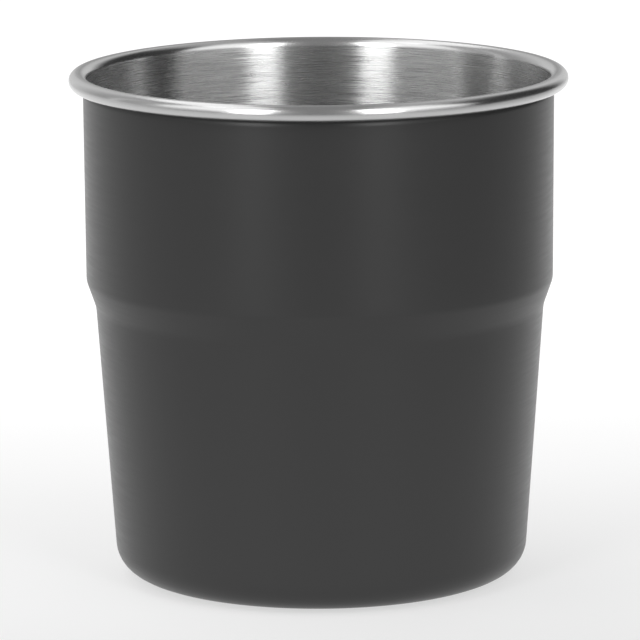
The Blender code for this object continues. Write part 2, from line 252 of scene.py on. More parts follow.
faces = shell_steel.data.polygons
middles = np.empty(3 * len(faces))
faces.foreach_get("center", middles)
x, y, z = middles.reshape(-1, 3).T
rim = (z > RIM_Z - MOUTH_BEND) | (np.hypot(x, y) > WALL_TOP_RADIUS + PAST_WALL)
shell_steel.data.materials.append(steel)
shell_steel.data.materials.append(burnished)
faces.foreach_set("material_index", rim.astype(np.int32))
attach(shell_steel, "box")
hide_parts("body_shell")

# Body shell, the coat. A satin black powder coat is sprayed on the outside only, from the crease behind the
# rolled rim down to the middle of the base, and baked. The rim and the inside stay bare.

COAT = 0.07 * MM
COAT_GAP = 0.005 * MM
COAT_TOP = RIM_Z - 2.45 * MM

coated = bent([*CUP_CORNERS, (WALL_TOP_RADIUS, COAT_TOP, 0)])
coat_back, coat_face = beside(coated, -COAT_GAP), beside(coated, -COAT)
coat_back[0, 0] = coat_face[0, 0] = 0
shell_coat = turned("shell_coat", np.concatenate([coat_back, coat_face[::-1]]), CUP_SIDES)

# Satin black powder coat on brushed sheet: grey sheen at grazing angles, with a fine orange peel of about
# 0.6 mm. The sheet's deeper brush lines print through faintly, and are drawn 0.55 mm apart.
COAT_COLOUR = "#2B2B2B"
COAT_ROUGHNESS = (0.30, 0.35)
PEEL = 0.6 * MM
PEEL_DEPTH = 0.006 * MM
PRINT_PITCH = 0.55 * MM
PRINT_DEPTH = 0.0015 * MM

coat = bpy.data.materials.new("satin_black_powder_coat")
coat.use_nodes = True
tree = coat.node_tree
tree.nodes.clear()
place = add(tree, "ShaderNodeTexCoord").outputs["Object"]
printed = lines_round(tree, PRINT_PITCH, BRUSH_LENGTH, 2.0)
peel = add(tree, "ShaderNodeTexNoise", {"Vector": place, "Scale": 1 / PEEL, "Detail": 1.0}).outputs[0]
rough = add(tree, "ShaderNodeMapRange", {
    0: printed, 1: NOISE_LOW, 2: NOISE_HIGH, 3: COAT_ROUGHNESS[0], 4: COAT_ROUGHNESS[1]}).outputs[0]
print_bump = add(tree, "ShaderNodeBump", {
    "Strength": 1.0, "Distance": PRINT_DEPTH, "Height": printed}).outputs[0]
bump = add(tree, "ShaderNodeBump", {
    "Strength": 1.0, "Distance": PEEL_DEPTH, "Height": peel, "Normal": print_bump}).outputs[0]
shader = add(tree, "ShaderNodeBsdfPrincipled", {
    "Base Color": linear(COAT_COLOUR), "Roughness": rough, "IOR": 1.42, "Normal": bump}).outputs[0]
add(tree, "ShaderNodeOutputMaterial", {"Surface": shader})

shell_coat.data.materials.append(coat)
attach(shell_coat, "box")
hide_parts("body_shell")

# Base pad. A disc of black rubber is moulded with three rings of tread in its sole and glued into the recess
# under the base. It stands a little proud of the steel, so the box neither slides nor marks the counter.

PAD_RADIUS = 34.073 * MM
PAD_THICKNESS = 2.0 * MM
TREAD_RADII = np.array([1, 2, 3]) / 4 * PAD_RADIUS
TREAD_HALF_WIDTH = 1.2 * MM
TREAD_DEPTH = 0.5 * MM
TREAD_ROUND = 0.3 * MM
PAD_ROUND = 0.4 * MM
PAD_SIDES = 192

groove = ((-TREAD_HALF_WIDTH, 0), (TREAD_DEPTH - TREAD_HALF_WIDTH, TREAD_DEPTH),
          (TREAD_HALF_WIDTH - TREAD_DEPTH, TREAD_DEPTH), (TREAD_HALF_WIDTH, 0))
sole = [(middle + out, up, TREAD_ROUND) for middle in TREAD_RADII for out, up in groove]
pad_face = bent([(0, 0, 0), *sole, (PAD_RADIUS, 0, PAD_ROUND), (PAD_RADIUS, PAD_THICKNESS, PAD_ROUND),
                 (0, PAD_THICKNESS, 0)])
pad = turned("pad_rubber", pad_face, PAD_SIDES)

# Moulded EPDM rubber: almost no shine, a spark-eroded grain of about 0.25 mm, and a pale dusty bloom in
# patches. The grain is drawn three times as coarse, so that it shows.
EPDM_COLOUR = "#1B1B1C"
BLOOM_COLOUR = "#2B2B2B"
EPDM_ROUGHNESS = (0.72, 0.85)
PAD_GRAIN = 0.75 * MM
PAD_GRAIN_DEPTH = 0.03 * MM
BLOOM_PATCH = 14 * MM

epdm = bpy.data.materials.new("moulded_epdm_rubber")
epdm.use_nodes = True
tree = epdm.node_tree
tree.nodes.clear()
place = add(tree, "ShaderNodeTexCoord").outputs["Object"]
grain = add(tree, "ShaderNodeTexNoise", {"Vector": place, "Scale": 1 / PAD_GRAIN, "Detail": 2.0}).outputs[0]
patches = add(tree, "ShaderNodeTexNoise", {
    "Vector": place, "Scale": 1 / BLOOM_PATCH, "Detail": 5.0}).outputs[0]
bloom = add(tree, "ShaderNodeMapRange", {0: patches, 1: 0.45, 2: 0.75}).outputs[0]
colour = add(tree, "ShaderNodeMixRGB", {
    0: bloom, 1: linear(EPDM_COLOUR), 2: linear(BLOOM_COLOUR)}).outputs[0]
rough = add(tree, "ShaderNodeMapRange", {
    0: patches, 1: NOISE_LOW, 2: NOISE_HIGH, 3: EPDM_ROUGHNESS[0], 4: EPDM_ROUGHNESS[1]}).outputs[0]
bump = add(tree, "ShaderNodeBump", {
    "Strength": 1.0, "Distance": PAD_GRAIN_DEPTH, "Height": grain}).outputs[0]
shader = add(tree, "ShaderNodeBsdfPrincipled", {
    "Base Color": colour, "Roughness": rough, "IOR": 1.5, "Normal": bump}).outputs[0]
add(tree, "ShaderNodeOutputMaterial", {"Surface": shader})

pad.data.materials.append(epdm)
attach(pad, "box")
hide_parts("base_pad")

# Bar sockets. Each is pressed from 1.5 mm stainless sheet: a flange that follows the wall, and a trough, open
# at the top, that a bush drops into. The flange is spot welded to the inside of the cup, above the shoulder.

BAR_Z = 79.6 * MM
SOCKET_PLATE = 1.5 * MM
SOCKET_START = 38.613 * MM
SOCKET_REACH = 11.0 * MM
SOCKET_ARM = 8.0 * MM
SOCKET_EDGE = 0.35 * MM
SOCKET_LIP = 0.6 * MM
SOCKET_RUN = 1.0 * MM
FOLD_INSIDE = 1.0 * MM
FOLD_OUTSIDE = 1.2 * MM
TROUGH_RADIUS = 7.3 * MM
FLANGE_HALF = 12.8 * MM
FLANGE_CORNER = 3.5 * MM
FLANGE_FRONT = 0.5 * MM
FLANGE_BACK = 0.2 * MM
FLANGE_ROOT = TROUGH_RADIUS + SOCKET_PLATE + 1.3 * MM
WELD_GAP = 0.3 * MM
EDGE_STEPS = 4
ARM_STEPS = 8
TROUGH_STEPS = 64


def socket(name, side):
    """A section (n, w), n out from the trough's middle and w towards the wall, carried down one arm, round a
    half circle and up the other, and drawn in by an arc at the two tops. Past FLANGE_ROOT n is stretched to a
    rounded square: the least of the ray's distances to its side, its foot and its corner. w is stretched to
    reach the wall at x = the root of its radius squared less y squared."""
    face = SOCKET_REACH - SOCKET_PLATE
    rim = TROUGH_RADIUS + SOCKET_PLATE
    section = bent([(0, face, 0), (TROUGH_RADIUS, face, FOLD_INSIDE), (TROUGH_RADIUS, 0, SOCKET_LIP),
                    (rim, 0, SOCKET_LIP), (rim, face, FOLD_OUTSIDE), (FLANGE_HALF, face, FLANGE_FRONT),
                    (FLANGE_HALF, SOCKET_REACH, FLANGE_BACK), (0, SOCKET_REACH, 0)], SOCKET_RUN)
    ease = np.linspace(math.pi / 2, 0, EDGE_STEPS)
    inset = np.concatenate([SOCKET_EDGE * (1 - np.cos(ease)), np.zeros(ARM_STEPS)])
    straight = (SOCKET_ARM - SOCKET_EDGE) * np.arange(ARM_STEPS - 1, -1, -1) / ARM_STEPS
    lift = np.concatenate([SOCKET_ARM - SOCKET_EDGE * (1 - np.sin(ease)), straight])
    bend = np.linspace(math.pi, math.tau, TROUGH_STEPS + 1)[1:-1]
    heading = np.concatenate([np.full(lift.size, math.pi), bend, np.full(lift.size, math.tau)])[:, None]
    lift = np.concatenate([lift, bend * 0, lift[::-1]])[:, None]
    inset = np.concatenate([inset, bend * 0, inset[::-1]])
    sections = np.stack([beside(section, distance) for distance in inset])
    n, w = sections[..., 0], sections[..., 1]
    away, down = np.abs(np.cos(heading)), np.abs(np.sin(heading))
    middle = FLANGE_HALF - FLANGE_CORNER
    spare = FLANGE_CORNER ** 2 - middle ** 2 * (away - down) ** 2
    corner = np.where(spare > 0, middle * (away + down) + np.sqrt(np.maximum(spare, 0)), FLANGE_HALF * 2)
    edge = np.minimum(corner, FLANGE_HALF / np.maximum(np.maximum(away, down), 1e-6))
    stretched = FLANGE_ROOT + (n - FLANGE_ROOT) * (edge - FLANGE_ROOT) / (FLANGE_HALF - FLANGE_ROOT)
    n = np.where(n > FLANGE_ROOT, stretched, n)
    y, z = n * np.cos(heading), BAR_Z + n * np.sin(heading) + lift
    lean = (WALL_TOP_RADIUS - SHOULDER_TOP[0]) * (z - SHOULDER_TOP[1]) / (RIM_Z - SHOULDER_TOP[1])
    wall = SHOULDER_TOP[0] + lean
    reach = np.sqrt((wall - SHEET - WELD_GAP) ** 2 - y ** 2) - SOCKET_START
    x = side * (SOCKET_START + w / SOCKET_REACH * reach)
    return skinned(name, np.stack([x, side * y, z], -1), ends=True)


# Pressed stainless sheet, mill finish: greyer and duller than the brushed cup, with fine rolling lines along
# the strip. Rolling lines are about 0.05 mm apart and drawn at 0.4 mm. Each spot weld is a shallow dimple
# with a straw-coloured rim, placed in millimetres out from the bar and up from it.
SHEET_COLOUR = "#B4B4B3"
SHEET_ROUGHNESS = (0.32, 0.46)
WELD_COLOUR = "#8C7A62"
ROLLING_PITCH = 0.4 * MM
ROLLING_LENGTH = 7 * MM
ROLLING_DEPTH = 0.006 * MM
WELDS = ((11.5, 4.0), (11.5, -4.0), (10.6, -10.6))
WELD_RADIUS = 1.1 * MM
WELD_DEPTH = 0.12 * MM

pressed = bpy.data.materials.new("pressed_stainless_sheet")
pressed.use_nodes = True
tree = pressed.node_tree
tree.nodes.clear()
place = add(tree, "ShaderNodeTexCoord").outputs["Object"]
strip = add(tree, "ShaderNodeMapping", {
    "Vector": place, "Scale": (1 / ROLLING_PITCH, 1 / ROLLING_LENGTH, 1 / ROLLING_PITCH)}).outputs[0]
rolled = add(tree, "ShaderNodeTexNoise", {"Vector": strip, "Scale": 1.0, "Detail": 4.0}).outputs[0]
rough = add(tree, "ShaderNodeMapRange", {
    0: rolled, 1: NOISE_LOW, 2: NOISE_HIGH, 3: SHEET_ROUGHNESS[0], 4: SHEET_ROUGHNESS[1]}).outputs[0]
mirrored = add(tree, "ShaderNodeVectorMath", {0: place}, operation="ABSOLUTE").outputs[0]
nearest = None
for out, up in WELDS:
    spot = add(tree, "ShaderNodeVectorMath", {0: mirrored, 1: (0, out * MM, BAR_Z + up * MM)},
               operation="SUBTRACT").outputs[0]
    flat = add(tree, "ShaderNodeVectorMath", {0: spot, 1: (0, 1, 1)}, operation="MULTIPLY").outputs[0]
    away = add(tree, "ShaderNodeVectorMath", {0: flat}, operation="LENGTH").outputs["Value"]
    nearest = away if nearest is None else add(tree, "ShaderNodeMath", {0: nearest, 1: away},
                                               operation="MINIMUM").outputs[0]
dimple = add(tree, "ShaderNodeMapRange", {0: nearest, 1: 0.6 * WELD_RADIUS, 2: WELD_RADIUS},
             interpolation_type="SMOOTHSTEP").outputs[0]
halo = add(tree, "ShaderNodeMapRange", {0: nearest, 1: WELD_RADIUS, 2: 2 * WELD_RADIUS, 3: 0.6, 4: 0.0},
           interpolation_type="SMOOTHSTEP").outputs[0]
colour = add(tree, "ShaderNodeMixRGB", {
    0: halo, 1: linear(SHEET_COLOUR), 2: linear(WELD_COLOUR)}).outputs[0]
weld_bump = add(tree, "ShaderNodeBump", {
    "Strength": 1.0, "Distance": WELD_DEPTH, "Height": dimple}).outputs[0]
bump = add(tree, "ShaderNodeBump", {
    "Strength": 1.0, "Distance": ROLLING_DEPTH, "Height": rolled, "Normal": weld_bump}).outputs[0]
shader = add(tree, "ShaderNodeBsdfPrincipled", {
    "Base Color": colour, "Metallic": 1.0, "Roughness": rough, "Normal": bump}).outputs[0]
add(tree, "ShaderNodeOutputMaterial", {"Surface": shader})

for end, side in (("right", 1), ("left", -1)):
    trough = socket(f"socket_{end}", side)
    trough.data.materials.append(pressed)
    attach(trough, "box")
    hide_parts(f"bar_socket_{end}")

# Bar rod. The core of the knock bar is a stainless rod, turned down to a journal at each end, which runs in a
# bush, and drilled and tapped for the end screw.

ROD_RADIUS = 5.0 * MM
JOURNAL_RADIUS = 4.0 * MM
TAPPED_RADIUS = 2.5 * MM
ROD_SHOULDER = 36.213 * MM
ROD_END = 44.613 * MM
TAPPED_END = 35.313 * MM
DRILL_POINT = 1.0 * MM
INNER_ROUND = 0.1 * MM
HOLE_ROUND = 0.3 * MM
ROD_ROUND = 0.4 * MM
ROD_SIDES = 96


def along_bar(a, b, h, side=1):
    """A point of a turned piece laid along the bar: its axis lies along X, turned half round for side -1."""
    return side * h, side * a, BAR_Z + b


half_rod = bent([(0, TAPPED_END - DRILL_POINT, 0), (TAPPED_RADIUS, TAPPED_END, INNER_ROUND),
                 (TAPPED_RADIUS, ROD_END, HOLE_ROUND), (JOURNAL_RADIUS, ROD_END, ROD_ROUND),
                 (JOURNAL_RADIUS, ROD_SHOULDER, INNER_ROUND), (ROD_RADIUS, ROD_SHOULDER, ROD_ROUND),
                 (ROD_RADIUS, 0, 0)])
rod_face = np.concatenate([half_rod, half_rod[-2::-1] * (1, -1)])
rod = turned("rod_steel", rod_face, ROD_SIDES, place=along_bar)


def rings_round_bar(tree, pitch):
    """Noise in rings round the bar: it is read at (x, distance from the bar's axis), with one cell to a
    pitch."""
    place = add(tree, "ShaderNodeTexCoord").outputs["Object"]
    from_axis = add(tree, "ShaderNodeVectorMath", {0: place, 1: (0, 0, BAR_Z)},
                    operation="SUBTRACT").outputs[0]
    split = add(tree, "ShaderNodeSeparateXYZ", {0: from_axis})
    flat = add(tree, "ShaderNodeVectorMath", {0: from_axis, 1: (0, 1, 1)}, operation="MULTIPLY").outputs[0]
    radius = add(tree, "ShaderNodeVectorMath", {0: flat}, operation="LENGTH").outputs["Value"]
    section = add(tree, "ShaderNodeCombineXYZ", {0: split.outputs["X"], 1: radius}).outputs[0]
    return add(tree, "ShaderNodeTexNoise", {"Vector": section, "Scale": 1 / pitch, "Detail": 2.0}).outputs[0]


# Turned stainless steel: bright, with the fine feed rings of the lathe tool. They are about 0.1 mm apart and
# are drawn at 0.3 mm.
FEED_PITCH = 0.3 * MM
FEED_DEPTH = 0.006 * MM
TURNED_ROUGHNESS = (0.20, 0.32)

lathed = bpy.data.materials.new("turned_stainless_steel")
lathed.use_nodes = True
tree = lathed.node_tree
tree.nodes.clear()
rings = rings_round_bar(tree, FEED_PITCH)
rough = add(tree, "ShaderNodeMapRange", {
    0: rings, 1: NOISE_LOW, 2: NOISE_HIGH, 3: TURNED_ROUGHNESS[0], 4: TURNED_ROUGHNESS[1]}).outputs[0]
bump = add(tree, "ShaderNodeBump", {"Strength": 1.0, "Distance": FEED_DEPTH, "Height": rings}).outputs[0]
shader = add(tree, "ShaderNodeBsdfPrincipled", {
    "Base Color": linear(STEEL_COLOUR), "Metallic": 1.0, "Roughness": rough, "Normal": bump}).outputs[0]
add(tree, "ShaderNodeOutputMaterial", {"Surface": shader})

rod.data.materials.append(lathed)
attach(rod, "bar")
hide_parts("bar_rod")

# Bar sleeve. A thick tube of black nitrile rubber, moulded in a tool of two halves and pushed over the rod,
# takes the knocks. Its ends are rounded, and a low flash line runs along each side, where the tool parts.

FLASH_HEIGHT = 0.08 * MM
SLEEVE_RADIUS = 12.0 * MM - FLASH_HEIGHT
SLEEVE_HALF = 36.213 * MM
SLEEVE_BORE = ROD_RADIUS + 0.3 * MM
SLEEVE_ROUND = 2.5 * MM
SLEEVE_SIDES = 192

half_sleeve = bent([(SLEEVE_BORE, 0, 0), (SLEEVE_BORE, SLEEVE_HALF, HOLE_ROUND),
                    (SLEEVE_RADIUS, SLEEVE_HALF, SLEEVE_ROUND), (SLEEVE_RADIUS, 0, 0)])
tube = np.concatenate([half_sleeve, half_sleeve[-2:0:-1] * (1, -1)])
parting = np.arange(SLEEVE_SIDES) % (SLEEVE_SIDES // 2) == 0
flash = 1 + FLASH_HEIGHT / SLEEVE_RADIUS * parting * (tube[:, :1] > SLEEVE_RADIUS / 2)
sleeve = turned("sleeve_rubber", tube, SLEEVE_SIDES, ring=True, place=along_bar, swell=flash)

# Moulded nitrile rubber: satin black, with a grain of about 0.2 mm drawn four times as coarse. The middle
# third, where the handles land, is scuffed duller and greyer, with short marks across the bar.
NITRILE_COLOUR = "#161617"
SCUFF_COLOUR = "#2E2D2C"
NITRILE_ROUGHNESS = (0.50, 0.72)
SLEEVE_GRAIN = 0.8 * MM
SLEEVE_GRAIN_DEPTH = 0.02 * MM
SCUFF_LENGTH = 6 * MM
SCUFF_WIDTH = 0.9 * MM
SCUFF_DEPTH = 0.05 * MM

nitrile = bpy.data.materials.new("moulded_nitrile_rubber")
nitrile.use_nodes = True
tree = nitrile.node_tree
tree.nodes.clear()
place = add(tree, "ShaderNodeTexCoord").outputs["Object"]
grain = add(tree, "ShaderNodeTexNoise", {
    "Vector": place, "Scale": 1 / SLEEVE_GRAIN, "Detail": 2.0}).outputs[0]
across = add(tree, "ShaderNodeMapping", {
    "Vector": place, "Scale": (1 / SCUFF_WIDTH, 1 / SCUFF_LENGTH, 1 / SCUFF_LENGTH)}).outputs[0]
marks = add(tree, "ShaderNodeTexNoise", {"Vector": across, "Scale": 1.0, "Detail": 4.0}).outputs[0]
along = add(tree, "ShaderNodeSeparateXYZ", {0: place}).outputs["X"]
from_middle = add(tree, "ShaderNodeMath", {0: along}, operation="ABSOLUTE").outputs[0]
struck = add(tree, "ShaderNodeMapRange", {
    0: from_middle, 1: SLEEVE_HALF / 3, 2: SLEEVE_HALF, 3: 1.0, 4: 0.0},
    interpolation_type="SMOOTHSTEP").outputs[0]
strong = add(tree, "ShaderNodeMapRange", {0: marks, 1: 0.5, 2: 0.75}).outputs[0]
scuffed = add(tree, "ShaderNodeMath", {0: struck, 1: strong}, operation="MULTIPLY").outputs[0]
colour = add(tree, "ShaderNodeMixRGB", {
    0: scuffed, 1: linear(NITRILE_COLOUR), 2: linear(SCUFF_COLOUR)}).outputs[0]
rough = add(tree, "ShaderNodeMapRange", {
    0: scuffed, 3: NITRILE_ROUGHNESS[0], 4: NITRILE_ROUGHNESS[1]}).outputs[0]
scuff_bump = add(tree, "ShaderNodeBump", {
    "Strength": 1.0, "Distance": SCUFF_DEPTH, "Height": scuffed}).outputs[0]
bump = add(tree, "ShaderNodeBump", {
    "Strength": 1.0, "Distance": SLEEVE_GRAIN_DEPTH, "Height": grain, "Normal": scuff_bump}).outputs[0]
shader = add(tree, "ShaderNodeBsdfPrincipled", {
    "Base Color": colour, "Roughness": rough, "IOR": 1.52, "Normal": bump}).outputs[0]
add(tree, "ShaderNodeOutputMaterial", {"Surface": shader})

sleeve.data.materials.append(nitrile)
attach(sleeve, "bar")
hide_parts("bar_sleeve")

# Bar bushes. Each is turned from black acetal rod and slipped on a journal. Its body drops into the trough,
# and its collar keeps the bar centred between the sockets. The bar turns in it without grease. Its profile is
# a closed loop that starts at a seam in the bore.

BUSH_BORE = JOURNAL_RADIUS + 0.3 * MM
BUSH_RADIUS = 7.0 * MM
BUSH_END = 44.313 * MM
COLLAR_RADIUS = 9.6 * MM
COLLAR_BACK = 36.513 * MM
COLLAR_FACE = 38.313 * MM
COLLAR_ROUND = 0.4 * MM
COLLAR_ROOT = 0.2 * MM
BUSH_ROUND = 0.6 * MM
BUSH_SEAM = 40 * MM
BUSH_RUN = 1.0 * MM
BUSH_SIDES = 128

bush_section = bent([(BUSH_BORE, BUSH_SEAM, 0), (BUSH_BORE, BUSH_END, HOLE_ROUND),
                     (BUSH_RADIUS, BUSH_END, BUSH_ROUND), (BUSH_RADIUS, COLLAR_FACE, COLLAR_ROOT),
                     (COLLAR_RADIUS, COLLAR_FACE, COLLAR_ROUND), (COLLAR_RADIUS, COLLAR_BACK, COLLAR_ROUND),
                     (BUSH_BORE, COLLAR_BACK, HOLE_ROUND), (BUSH_BORE, BUSH_SEAM, 0)], BUSH_RUN)[:-1]

# Turned black acetal: waxy satin sheen with tool rings, 0.15 mm apart in a finishing cut and drawn at
# 0.35 mm.
ACETAL_COLOUR = "#232324"
ACETAL_ROUGHNESS = (0.36, 0.48)
TOOL_PITCH = 0.35 * MM
TOOL_DEPTH = 0.012 * MM

acetal = bpy.data.materials.new("turned_black_acetal")
acetal.use_nodes = True
tree = acetal.node_tree
tree.nodes.clear()
rings = rings_round_bar(tree, TOOL_PITCH)
rough = add(tree, "ShaderNodeMapRange", {
    0: rings, 1: NOISE_LOW, 2: NOISE_HIGH, 3: ACETAL_ROUGHNESS[0], 4: ACETAL_ROUGHNESS[1]}).outputs[0]
bump = add(tree, "ShaderNodeBump", {"Strength": 1.0, "Distance": TOOL_DEPTH, "Height": rings}).outputs[0]
shader = add(tree, "ShaderNodeBsdfPrincipled", {
    "Base Color": linear(ACETAL_COLOUR), "Roughness": rough, "IOR": 1.48, "Normal": bump}).outputs[0]
add(tree, "ShaderNodeOutputMaterial", {"Surface": shader})

for end, side in (("right", 1), ("left", -1)):
    bush = turned(f"bush_{end}", bush_section, BUSH_SIDES, ring=True,
                  place=lambda a, b, h: along_bar(a, b, h, side))
    bush.data.materials.append(acetal)
    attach(bush, "bushes")
    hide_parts(f"bar_bush_{end}")

# Bar screws. A stainless M4 screw with a wide button head in each end of the rod keeps the bush on its
# journal. The head is cold formed, with a hexagon socket for a 3 mm key, and its thread is rolled.

THREAD_RADIUS = 2.2 * MM
THREAD_PITCH = 0.7 * MM
THREAD_DEPTH = 0.35 * MM
THREAD_TURNS = 10
SCREW_TIP = 35.613 * MM
SCREW_TIP_RADIUS = 1.5 * MM
SCREW_TIP_BEVEL = 0.5 * MM
HEAD_SEAT = 44.913 * MM
HEAD_TOP = 47.213 * MM
HEAD_RADIUS = 4.9 * MM
HEAD_NECK = (THREAD_RADIUS - THREAD_DEPTH, HEAD_SEAT - 1.5 * MM, 0)
HEAD_BRIM = (HEAD_RADIUS, HEAD_SEAT + 0.6 * MM, 0.3 * MM)
HEAD_DOME = (4.35 * MM, HEAD_SEAT + 1.5 * MM, 1.2 * MM)
HEAD_CROWN = (3.0 * MM, HEAD_TOP, 1.0 * MM)
HEAD_EDGE = 0.2 * MM
HEAD_RUN = 0.5 * MM
KEY_HALF = 1.5 * MM
KEY_MOUTH = (1.95 * MM, HEAD_TOP, 0)
KEY_BEVEL = 0.25 * MM
KEY_FLOOR = HEAD_TOP - 1.4 * MM
KEY_FLOOR_BEVEL = 0.1 * MM
KEY_FLOOR_SHARE = 0.95
SCREW_SIDES = 96

turns = np.arange(0, THREAD_TURNS, 0.5)
thread = np.stack([THREAD_RADIUS - THREAD_DEPTH * (turns % 1 > 0),
                   SCREW_TIP + SCREW_TIP_BEVEL + turns * THREAD_PITCH], 1)
head = bent([HEAD_NECK, (THREAD_RADIUS, HEAD_SEAT, INNER_ROUND), (HEAD_RADIUS, HEAD_SEAT, HEAD_EDGE),
             HEAD_BRIM, HEAD_DOME, HEAD_CROWN, KEY_MOUTH], HEAD_RUN)
key = np.array([(KEY_HALF, HEAD_TOP - KEY_BEVEL), (KEY_HALF, KEY_FLOOR + KEY_FLOOR_BEVEL),
                (KEY_HALF * KEY_FLOOR_SHARE, KEY_FLOOR), (0, KEY_FLOOR)])
screw_section = np.concatenate([[(0, SCREW_TIP), (SCREW_TIP_RADIUS, SCREW_TIP)], thread, head, key])
turn = np.arange(SCREW_SIDES) * math.tau / SCREW_SIDES
hexagon = 1 / np.cos((turn + math.pi / 6) % (math.pi / 3) - math.pi / 6)
flats = np.where(np.arange(len(screw_section))[:, None] >= len(screw_section) - len(key), hexagon, 1.0)

# Cold-headed stainless steel, barrel polished: bright, with soft dents and fine hairlines in no direction.
HAIRLINE = 0.5 * MM
HAIRLINE_DEPTH = 0.008 * MM
POLISHED_ROUGHNESS = (0.16, 0.30)

polished = bpy.data.materials.new("barrel_polished_stainless")
polished.use_nodes = True
tree = polished.node_tree
tree.nodes.clear()
place = add(tree, "ShaderNodeTexCoord").outputs["Object"]
dents = add(tree, "ShaderNodeTexNoise", {
    "Vector": place, "Scale": 1 / HAIRLINE, "Detail": 4.0, "Distortion": 1.5}).outputs[0]
rough = add(tree, "ShaderNodeMapRange", {
    0: dents, 1: NOISE_LOW, 2: NOISE_HIGH, 3: POLISHED_ROUGHNESS[0], 4: POLISHED_ROUGHNESS[1]}).outputs[0]
bump = add(tree, "ShaderNodeBump", {
    "Strength": 1.0, "Distance": HAIRLINE_DEPTH, "Height": dents}).outputs[0]
shader = add(tree, "ShaderNodeBsdfPrincipled", {
    "Base Color": linear(STEEL_COLOUR), "Metallic": 1.0, "Roughness": rough, "Normal": bump}).outputs[0]
add(tree, "ShaderNodeOutputMaterial", {"Surface": shader})

for end, side in (("right", 1), ("left", -1)):
    screw = turned(f"screw_{end}", screw_section, SCREW_SIDES, swell=flats,
                   place=lambda a, b, h: along_bar(a, b, h, side))
    screw.data.materials.append(polished)
    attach(screw, "bar")
    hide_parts(f"bar_screw_{end}")

# Camera: the photograph's view, 10.9 degrees above the horizon through a long lens, leaning by a third of a
# degree. The lens and the sensor are in millimetres.

VIEW_DISTANCE = 1134.2 * MM
VIEW_HEIGHT = 55.52 * MM
VIEW_ELEVATION = math.radians(10.904)
VIEW_ROLL = math.radians(-0.369)
VIEW_LENS = 292.6
VIEW_SENSOR = 36
VIEW_NEAREST = 0.05

camera = bpy.data.objects.new("camera", bpy.data.cameras.new("camera"))
bpy.context.scene.collection.objects.link(camera)
camera.data.lens = VIEW_LENS
camera.data.sensor_width = VIEW_SENSOR
camera.data.clip_start = VIEW_NEAREST
camera.matrix_world = (
    Matrix.Translation((0, -VIEW_DISTANCE * math.cos(VIEW_ELEVATION),
                        VIEW_HEIGHT + VIEW_DISTANCE * math.sin(VIEW_ELEVATION)))
    @ Matrix.Rotation(math.pi / 2 - VIEW_ELEVATION, 4, "X")
    @ Matrix.Rotation(VIEW_ROLL, 4, "Z"))
bpy.context.scene.camera = camera
bpy.context.scene.view_settings.view_transform = "Standard"

# Floor: a sheet of white paper, wide enough to fill every view and a hair below the pad. Its glow is painted
# light, not lit by a lamp: it is brightest at the back and falls off towards the camera and to both sides,
# with a painted shade at the right.

FLOOR_HALF = 4.0
FLOOR_Z = -0.05 * MM
PAPER_COLOUR = "#959595"

floor_mesh = bpy.data.meshes.new("floor")
corners = FLOOR_HALF * np.array([(-1, -1, 0), (1, -1, 0), (1, 1, 0), (-1, 1, 0)]) + (0, 0, FLOOR_Z)
floor_mesh.from_pydata(corners, [], [(0, 1, 2, 3)])
floor = bpy.data.objects.new("floor", floor_mesh)
bpy.context.scene.collection.objects.link(floor)
paper = bpy.data.materials.new("white_paper_sweep")
paper.use_nodes = True
tree = paper.node_tree
tree.nodes.clear()
place = add(tree, "ShaderNodeTexCoord").outputs["Object"]
sides = add(tree, "ShaderNodeSeparateXYZ", {0: place})
# Painted glow, no lamp: brighter towards the back and painted darker towards the camera, more so far in
# front.
painted_glow = add(tree, "ShaderNodeMapRange", {
    0: sides.outputs["Y"], 1: -0.45, 2: 0.3, 3: 0.3, 4: 0.85}).outputs[0]
far = add(tree, "ShaderNodeMapRange", {
    0: sides.outputs["Y"], 1: -0.55, 2: -0.25, 3: 0.2, 4: 1.0}).outputs[0]
painted_glow = add(tree, "ShaderNodeMath", {0: painted_glow, 1: far}, operation="MULTIPLY").outputs[0]
# Painted shade taken out of the glow at the right front.
right = add(tree, "ShaderNodeMapRange", {0: sides.outputs["X"], 1: 0.12, 2: 0.3, 3: 0.0, 4: 0.25},
            interpolation_type="SMOOTHSTEP").outputs[0]
ahead = add(tree, "ShaderNodeMath", {0: sides.outputs["X"], 1: sides.outputs["Y"]},
            operation="SUBTRACT").outputs[0]
near = add(tree, "ShaderNodeMapRange", {0: ahead, 1: 0.0, 2: 0.12}).outputs[0]
shade = add(tree, "ShaderNodeMath", {0: right, 1: near}, operation="MULTIPLY").outputs[0]
outside_painted_shade = add(tree, "ShaderNodeMath", {0: 1.0, 1: shade}, operation="SUBTRACT").outputs[0]
painted_glow = add(tree, "ShaderNodeMath", {0: painted_glow, 1: outside_painted_shade}, operation="MULTIPLY").outputs[0]
# The painted glow falls off to both sides.
aside = add(tree, "ShaderNodeMath", {0: sides.outputs["X"]}, operation="ABSOLUTE").outputs[0]
dim = add(tree, "ShaderNodeMapRange", {0: aside, 1: 0.1, 2: 0.6, 3: 1.0, 4: 0.6}).outputs[0]
painted_glow = add(tree, "ShaderNodeMath", {0: painted_glow, 1: dim}, operation="MULTIPLY").outputs[0]
shader = add(tree, "ShaderNodeBsdfPrincipled", {
    "Base Color": linear(PAPER_COLOUR), "Roughness": 0.9, "Emission Color": (1, 1, 1, 1),
    "Emission Strength": painted_glow}).outputs[0]
add(tree, "ShaderNodeOutputMaterial", {"Surface": shader})
floor_mesh.materials.append(paper)

# Light: a tall softbox either side of the camera, a panel beyond each and a strip at the far left, all hung
# upright, and canopies overhead that are dimmer at the right. An upright lamp has a compass turn from the
# camera, its lowest and highest elevation and its width in degrees, and a brightness. A canopy has its middle
# and its size in metres, and a brightness.

